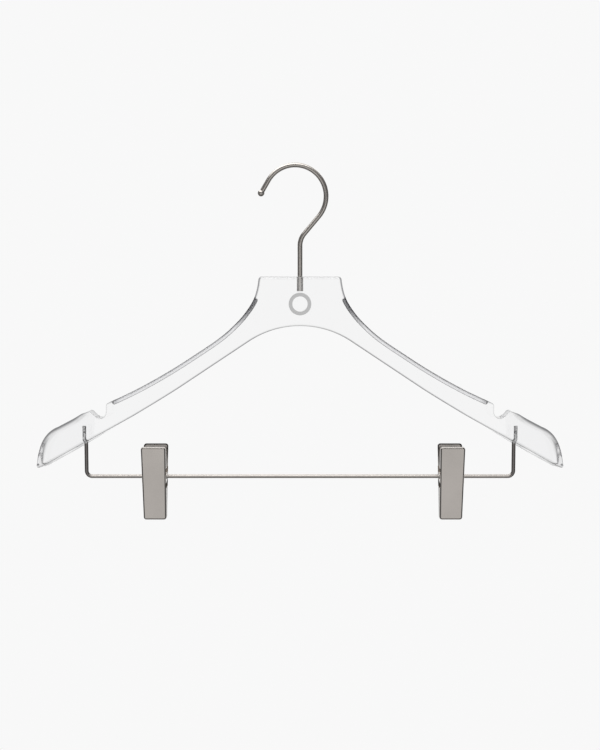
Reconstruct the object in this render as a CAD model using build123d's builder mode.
from build123d import *
from math import acos, cos, degrees, radians, sin, tan
import os

# Clear acrylic clothes hanger with a swivel hook and a drop bar that carries two clips.
# Units are millimetres. X runs along the width, -Y is the front and +Z is up.
# The origin is on the swivel axis, at the height of the underside of the hook's crown,
# which is where a rail bears. The acrylic plate is symmetric about X = 0.

os.makedirs("parts", exist_ok=True)

# ---- Hook -------------------------------------------------------------------------
wire_r = 2.0                    # round steel wire
crown_r = 25.2                  # centreline radius of the big bend
crown_x = -4.0                  # the big bend is centred a little to the open side
crown_z = wire_r - crown_r      # puts the underside of the crown at Z = 0
crown_start = -40.0             # degrees, where the sloping run meets the big bend
crown_end = 150.0               # degrees, where the open branch leaves it
branch_len = 11.6               # straight end of the open branch
ball_r = 2.75
shank_bend_r = 15.0             # bend between the sloping run and the shank
neck_top = -88.2                # height of the acrylic neck's top face
shank_gap = 0.3                 # between the hook's shoulder and the neck

# ---- Swivel: a thin journal and head below the shank, held in a sleeve --------------
journal_r = 1.6
journal_len = 8.4
head_r = 2.0
head_len = 1.8
running_gap = 0.05
sleeve_r = 2.6
sleeve_len = 12.0
sleeve_lip = 8.3                # length of the narrow bore that the journal turns in
sleeve_floor = 1.0

# ---- Acrylic plate -----------------------------------------------------------------
plate_t = 15.0
bend_start = 137.0              # distance from the centre where the arms start to bow back
bend_end = 181.0
bend_deg = 23.0
bend_r = (bend_end - bend_start) / radians(bend_deg)
tip_x = 222.6

# ---- Grip strips, let into a groove along the top of each arm -----------------------
strip_w = 5.0
strip_depth = 3.5
strip_gap = 0.08
strip_inner_x = 37.0
strip_outer_x = 155.0

# ---- Drop bar ----------------------------------------------------------------------
bar_r = 1.6
bar_z = -254.5
bar_half = 178.0                # swivel axis to each upright
bar_bend_r = 4.6
glue_gap = 0.02
leg_top = -212.0                # blind end of the uprights, inside the arms

# ---- Clips -------------------------------------------------------------------------
clip_places = {"left": -121.0, "right": 126.0}
sheet_t = 1.0
lean = 8.8                      # degrees each plate leans from the vertical
face_off = 8.9                  # bar axis to the outside of each plate
plate_top = 27.4                # along the plate, above the bar
plate_bottom = -35.5
top_half_w = 10.3
bottom_half_w = 9.5
corner_r = 2.2
press_r = 1.4                   # round-over of the pressed edge
flange_mid = 5.6                # flange depth beside the window
flange_top = 3.0
flange_bottom = 2.7
window_top = 8.6                # the flanges stop here, above and below the bar
window_bottom = -8.2
ear_r = 3.5
ear_gap = 0.4                   # between a front ear and the back ear inside it
bush_r = 2.35
bush_half = 10.4
pad_w = 15.4
pad_h = 10.5
pad_t = 2.1
pad_corner_r = 1.2
pad_margin = 0.4                # between the pad and the plate's bottom flange
rib_gap = 0.8                   # width and depth of the grooves between the ribs
rib_gaps = 4
spring_wire_r = 0.5
coil_r = 3.15
coil_turns = 5
coil_pitch = 1.2
spring_reach = 13.9             # bar axis to the tip of each spring leg
spring_open = 21.4              # degrees from the vertical to each spring leg's tip


def write(builder, node):
    builder.part.label = node
    export_step(builder.part, f"parts/{node}.step")


def bow(x):
    """Set-back of the plate's middle surface inside the bend, at distance x from the centre."""
    return bend_r - (bend_r**2 - (x - bend_start) ** 2) ** 0.5


# ---- Hook: one bent wire with a ball formed on its free end -------------------------
slope = radians(90 + crown_start)               # the sloping run's angle above level
run_top = (crown_x + crown_r * cos(radians(crown_start)), crown_z + crown_r * sin(radians(crown_start)))
knee = (0.0, run_top[1] - run_top[0] * tan(slope))
shank_base = neck_top + shank_gap

with BuildPart() as hook:
    with BuildLine(Plane.XZ) as hook_line:
        FilletPolyline((0, shank_base), knee, run_top, radius=shank_bend_r)
        crown = CenterArc((crown_x, crown_z), crown_r, crown_start, crown_end - crown_start)
        branch = PolarLine(crown @ 1, branch_len, crown_end + 90)
    with BuildSketch(Plane.XY.offset(shank_base)):
        Circle(wire_r)
    sweep(path=hook_line.wires()[0])
    with Locations(hook_line.wires()[0] @ 1):
        Sphere(ball_r)
    with BuildSketch(Plane.XY.offset(shank_base)):
        Circle(journal_r)
    extrude(amount=-journal_len - shank_gap)
    with BuildSketch(Plane.XY.offset(neck_top - journal_len)):
        Circle(head_r)
    extrude(amount=-head_len)
write(hook, "hook")

# ---- Swivel sleeve, bonded into the neck ---------------------------------------------
cavity_r = head_r + 2 * running_gap
with BuildPart() as hook_sleeve:
    with BuildSketch(Plane.XY.offset(neck_top)):
        Circle(sleeve_r)
    extrude(amount=-sleeve_len)
    with BuildSketch(Plane.XY.offset(neck_top)):
        Circle(journal_r + running_gap)
    extrude(amount=-sleeve_lip, mode=Mode.SUBTRACT)
    with BuildSketch(Plane.XY.offset(neck_top - sleeve_lip)):
        Circle(cavity_r)
    extrude(amount=-(sleeve_len - sleeve_lip - sleeve_floor), mode=Mode.SUBTRACT)
write(hook_sleeve, "hook_sleeve")

# ---- Acrylic plate --------------------------------------------------------------------
# Right half of the outline, in (X, Z): neck side, top of the arm, strap notch, shoulder,
# tip, underside of the arm and the arch below the neck.
neck_corner = (33.6, neck_top)
arm_top = [(37.9, -106.8), (45.5, -118.7), (56.8, -130.7), (88.4, -153.6), (123.0, -174.6)]
notch_in = (157.4, -191.8)
notch_c = (164.9, -198.9)       # centre of the notch's round bottom
notch_r = 5.6
notch_lip = 2.2                 # height of the short slope into the notch
notch_turn = 128.0              # degrees of the round bottom, from its straight inner wall
notch_peak = (173.6, -198.8)
shoulder_start = (203.0, -213.4)
shoulder_mid = (216.6, -223.8)
shoulder_end = (222.2, -239.5)
tip_low = (tip_x, -250.2)
under_mid = (151.2, -211.0)
under_in = (100.8, -180.4)
arch_r = 75.0
arch_deg = 33.7
arch_top = -128.5
arch_end = (arch_r * sin(radians(arch_deg)), arch_top - arch_r * (1 - cos(radians(arch_deg))))
deep = 60.0                     # more than the plate's whole depth, bow included


def plan_band(width):
    """Plan of the plate: straight across the middle, with both ends bowed back."""
    with BuildSketch(Plane.XY.offset(tip_low[1] - deep)) as plan:
        with BuildLine() as run:
            Line((0, 0), (bend_start, 0))
            arc = CenterArc((bend_start, bend_r), bend_r, -90, bend_deg)
            PolarLine(arc @ 1, deep, bend_deg)
            mirror(about=Plane.YZ)
        trace(run.wires(), line_width=width)
    return extrude(plan.sketch, amount=4 * deep)


def arm_top_edge():
    """The top edge of the right arm, from the neck's corner to the strap notch."""
    return Spline(neck_corner, *arm_top, notch_in, tangents=((0.1, -1), (0.91, -0.42)))


def plate_side():
    """Side view of the plate, both halves."""
    with BuildSketch(Plane.XZ) as side:
        with BuildLine():
            Line((0, neck_top), neck_corner)
            arm_top_edge()
            wall_top = (notch_c[0] - notch_r, notch_in[1] - notch_lip)
            Line(notch_in, wall_top)
            notch = CenterArc(notch_c, notch_r, 180, notch_turn)
            Line(wall_top, notch @ 0)
            Line(notch @ 1, notch_peak)
            Line(notch_peak, shoulder_start)
            ThreePointArc(shoulder_start, shoulder_mid, shoulder_end)
            Line(shoulder_end, tip_low)
            ThreePointArc(tip_low, under_mid, under_in)
            Line(under_in, arch_end)
            CenterArc((0, arch_top - arch_r), arch_r, 90 - arch_deg, arch_deg)
            Line((0, arch_top), (0, neck_top))
        make_face()
        mirror(about=Plane.YZ)
    return side.sketch


def strip_band_side(clearance):
    """Side view of a band that follows the right arm's top edge, as deep as the grip strip."""
    with BuildSketch(Plane.XZ) as side:
        with BuildLine() as edge:
            arm_top_edge()
        trace(edge.edges(), line_width=2 * (strip_depth + clearance))
        with Locations(((strip_inner_x + strip_outer_x) / 2, notch_c[1])):
            Rectangle(strip_outer_x - strip_inner_x + 2 * clearance, 4 * deep, mode=Mode.INTERSECT)
    return side.sketch


bar_y = bow(bar_half)           # the uprights stand in the middle of the plate's thickness
plate_band = plan_band(plate_t)
plate_outline = plate_side()
groove_band = plan_band(strip_w + 2 * strip_gap)
groove_side = strip_band_side(strip_gap)
strip_band = plan_band(strip_w)
strip_side = strip_band_side(0)

with BuildPart() as groove:
    extrude(groove_side, amount=deep, both=True)
    add(groove_band, mode=Mode.INTERSECT)

with BuildPart() as hanger_body:
    extrude(plate_outline, amount=deep, both=True)
    add(plate_band, mode=Mode.INTERSECT)
    add(groove.part, mode=Mode.SUBTRACT)
    mirror(groove.part, about=Plane.YZ, mode=Mode.SUBTRACT)
    with BuildSketch(Plane.XY.offset(neck_top)):
        Circle(sleeve_r)
    extrude(amount=-sleeve_len, mode=Mode.SUBTRACT)
    with BuildSketch(Plane.XY.offset(leg_top)):
        with Locations((-bar_half, bar_y), (bar_half, bar_y)):
            Circle(bar_r + glue_gap)
    extrude(amount=-deep, mode=Mode.SUBTRACT)
write(hanger_body, "hanger_body")

# ---- Grip strips, pressed into the grooves ---------------------------------------------
with BuildPart() as right_grip_strip:
    extrude(strip_side, amount=deep, both=True)
    extrude(plate_outline, amount=deep, both=True, mode=Mode.INTERSECT)
    add(strip_band, mode=Mode.INTERSECT)
write(right_grip_strip, "right_grip_strip")

with BuildPart() as left_grip_strip:
    mirror(right_grip_strip.part, about=Plane.YZ)
write(left_grip_strip, "left_grip_strip")

# ---- Drop bar: one wire, bent up at both ends and bonded into the arms -----------------
with BuildPart() as drop_bar:
    with BuildLine(Plane.XZ.offset(-bar_y)) as bar_line:
        FilletPolyline((-bar_half, leg_top), (-bar_half, bar_z), (bar_half, bar_z),
                       (bar_half, leg_top), radius=bar_bend_r)
    with BuildSketch(Plane.XY.offset(leg_top)):
        with Locations((-bar_half, bar_y)):
            Circle(bar_r)
    sweep(path=bar_line.wires()[0])
write(drop_bar, "drop_bar")


# ---- Clips: two sheet plates hinged on a bush that slides on the bar --------------------
def clip_face(center_x, facing):
    """Frame of one plate: X across, Y up along the plate, Z out of it, from the bar's axis.

    facing is 1 for the front plate and -1 for the back one."""
    tilt = radians(lean)
    return Plane(origin=(center_x, bar_y, bar_z), x_dir=(facing, 0, 0),
                 z_dir=(0, -facing * cos(tilt), -sin(tilt)))


def tray_outline(plane, inset):
    with BuildSketch(plane) as outline:
        with BuildLine():
            Polyline((-bottom_half_w, plate_bottom), (bottom_half_w, plate_bottom),
                     (top_half_w, plate_top), (-top_half_w, plate_top), close=True)
        make_face()
        fillet(outline.vertices(), corner_r)
        if inset:
            offset(amount=-inset, mode=Mode.REPLACE)
    return outline.sketch


def clip_plate(face, ear_inset):
    """A pressed tray whose side flanges stop at a window, with an ear each side round the bush."""
    blank = tray_outline(face.offset(face_off), 0)
    pocket = tray_outline(face.offset(face_off - sheet_t), sheet_t)
    side = Plane(origin=face.origin, x_dir=face.y_dir, z_dir=face.x_dir)
    mid_half_w = bottom_half_w - (top_half_w - bottom_half_w) * plate_bottom / (plate_top - plate_bottom)
    ear_x = mid_half_w - sheet_t / 2 - ear_inset
    above = plate_top + sheet_t                     # the cut runs past both ends of the plate
    below = plate_bottom - sheet_t
    with BuildPart() as plate:
        extrude(blank, amount=-flange_mid - 2 * sheet_t)
        outside = plate.faces().sort_by(Axis(face.origin, face.z_dir))[-1]
        fillet(outside.edges(), press_r)
        extrude(pocket, amount=-face_off, mode=Mode.SUBTRACT)
        with BuildSketch(side):
            with BuildLine():
                Polyline((above, -face_off), (above, face_off - flange_top),
                         (window_top, face_off - flange_mid), (window_top, face_off - sheet_t),
                         (window_bottom, face_off - sheet_t), (window_bottom, face_off - flange_mid),
                         (below, face_off - flange_bottom), (below, -face_off), close=True)
            make_face()
        extrude(amount=2 * top_half_w, both=True, mode=Mode.SUBTRACT)
        with BuildSketch(side.offset(-ear_x), side.offset(ear_x)):
            Circle(ear_r)
            with Locations((0, (face_off - sheet_t / 2) / 2)):
                Rectangle(2 * ear_r, face_off - sheet_t / 2)
            Circle(bush_r + running_gap, mode=Mode.SUBTRACT)
        extrude(amount=sheet_t / 2, both=True)
    return plate


def jaw_pad(face):
    """Ribbed rubber pad on the inside of the jaw."""
    low = plate_bottom + sheet_t + pad_margin
    with BuildPart() as pad:
        with BuildSketch(face.offset(face_off - sheet_t)):
            with Locations((0, low + pad_h / 2)):
                RectangleRounded(pad_w, pad_h, pad_corner_r)
        extrude(amount=-pad_t)
        with BuildSketch(face.offset(face_off - sheet_t - pad_t)):
            with Locations((0, low + pad_h / 2)):
                with GridLocations(0, pad_h / (rib_gaps + 1), 1, rib_gaps):
                    Rectangle(pad_w, rib_gap)
        extrude(amount=rib_gap, mode=Mode.SUBTRACT)
    return pad


def clip_bush(center_x):
    with BuildPart() as bush:
        with BuildSketch(Plane.YZ.offset(center_x - bush_half)):
            with Locations((bar_y, bar_z)):
                Circle(bush_r)
                Circle(bar_r + running_gap, mode=Mode.SUBTRACT)
        extrude(amount=2 * bush_half)
    return bush


def clip_spring(center_x):
    """Torsion spring round the bush. Its legs stand where the fully squeezed handles reach."""
    leg_len = (spring_reach**2 - coil_r**2) ** 0.5
    leave = radians(spring_open) - acos(coil_r / spring_reach)      # where the front leg meets the coil
    turns = coil_turns + degrees(leave) / 180
    coil_len = turns * coil_pitch
    start = Plane(origin=(center_x - coil_len / 2, bar_y, bar_z), z_dir=(1, 0, 0),
                  x_dir=(0, sin(leave), cos(leave)))
    coil = start * Helix(coil_pitch, coil_len, coil_r)
    with BuildPart() as spring:
        with BuildSketch(Plane(origin=coil @ 0, z_dir=coil % 0)):
            Circle(spring_wire_r)
        sweep(path=coil, is_frenet=True)
        for end in (coil @ 0, coil @ 1):
            extrude(spring.faces().sort_by_distance(end)[0], amount=leg_len)
    return spring


for side_name, center_x in clip_places.items():
    front = clip_face(center_x, 1)
    back = clip_face(center_x, -1)
    write(clip_plate(front, 0), f"{side_name}_clip_front_plate")
    write(clip_plate(back, sheet_t + ear_gap), f"{side_name}_clip_back_plate")
    write(jaw_pad(front), f"{side_name}_clip_front_pad")
    write(jaw_pad(back), f"{side_name}_clip_back_pad")
    write(clip_bush(center_x), f"{side_name}_clip_bush")
    write(clip_spring(center_x), f"{side_name}_clip_spring")
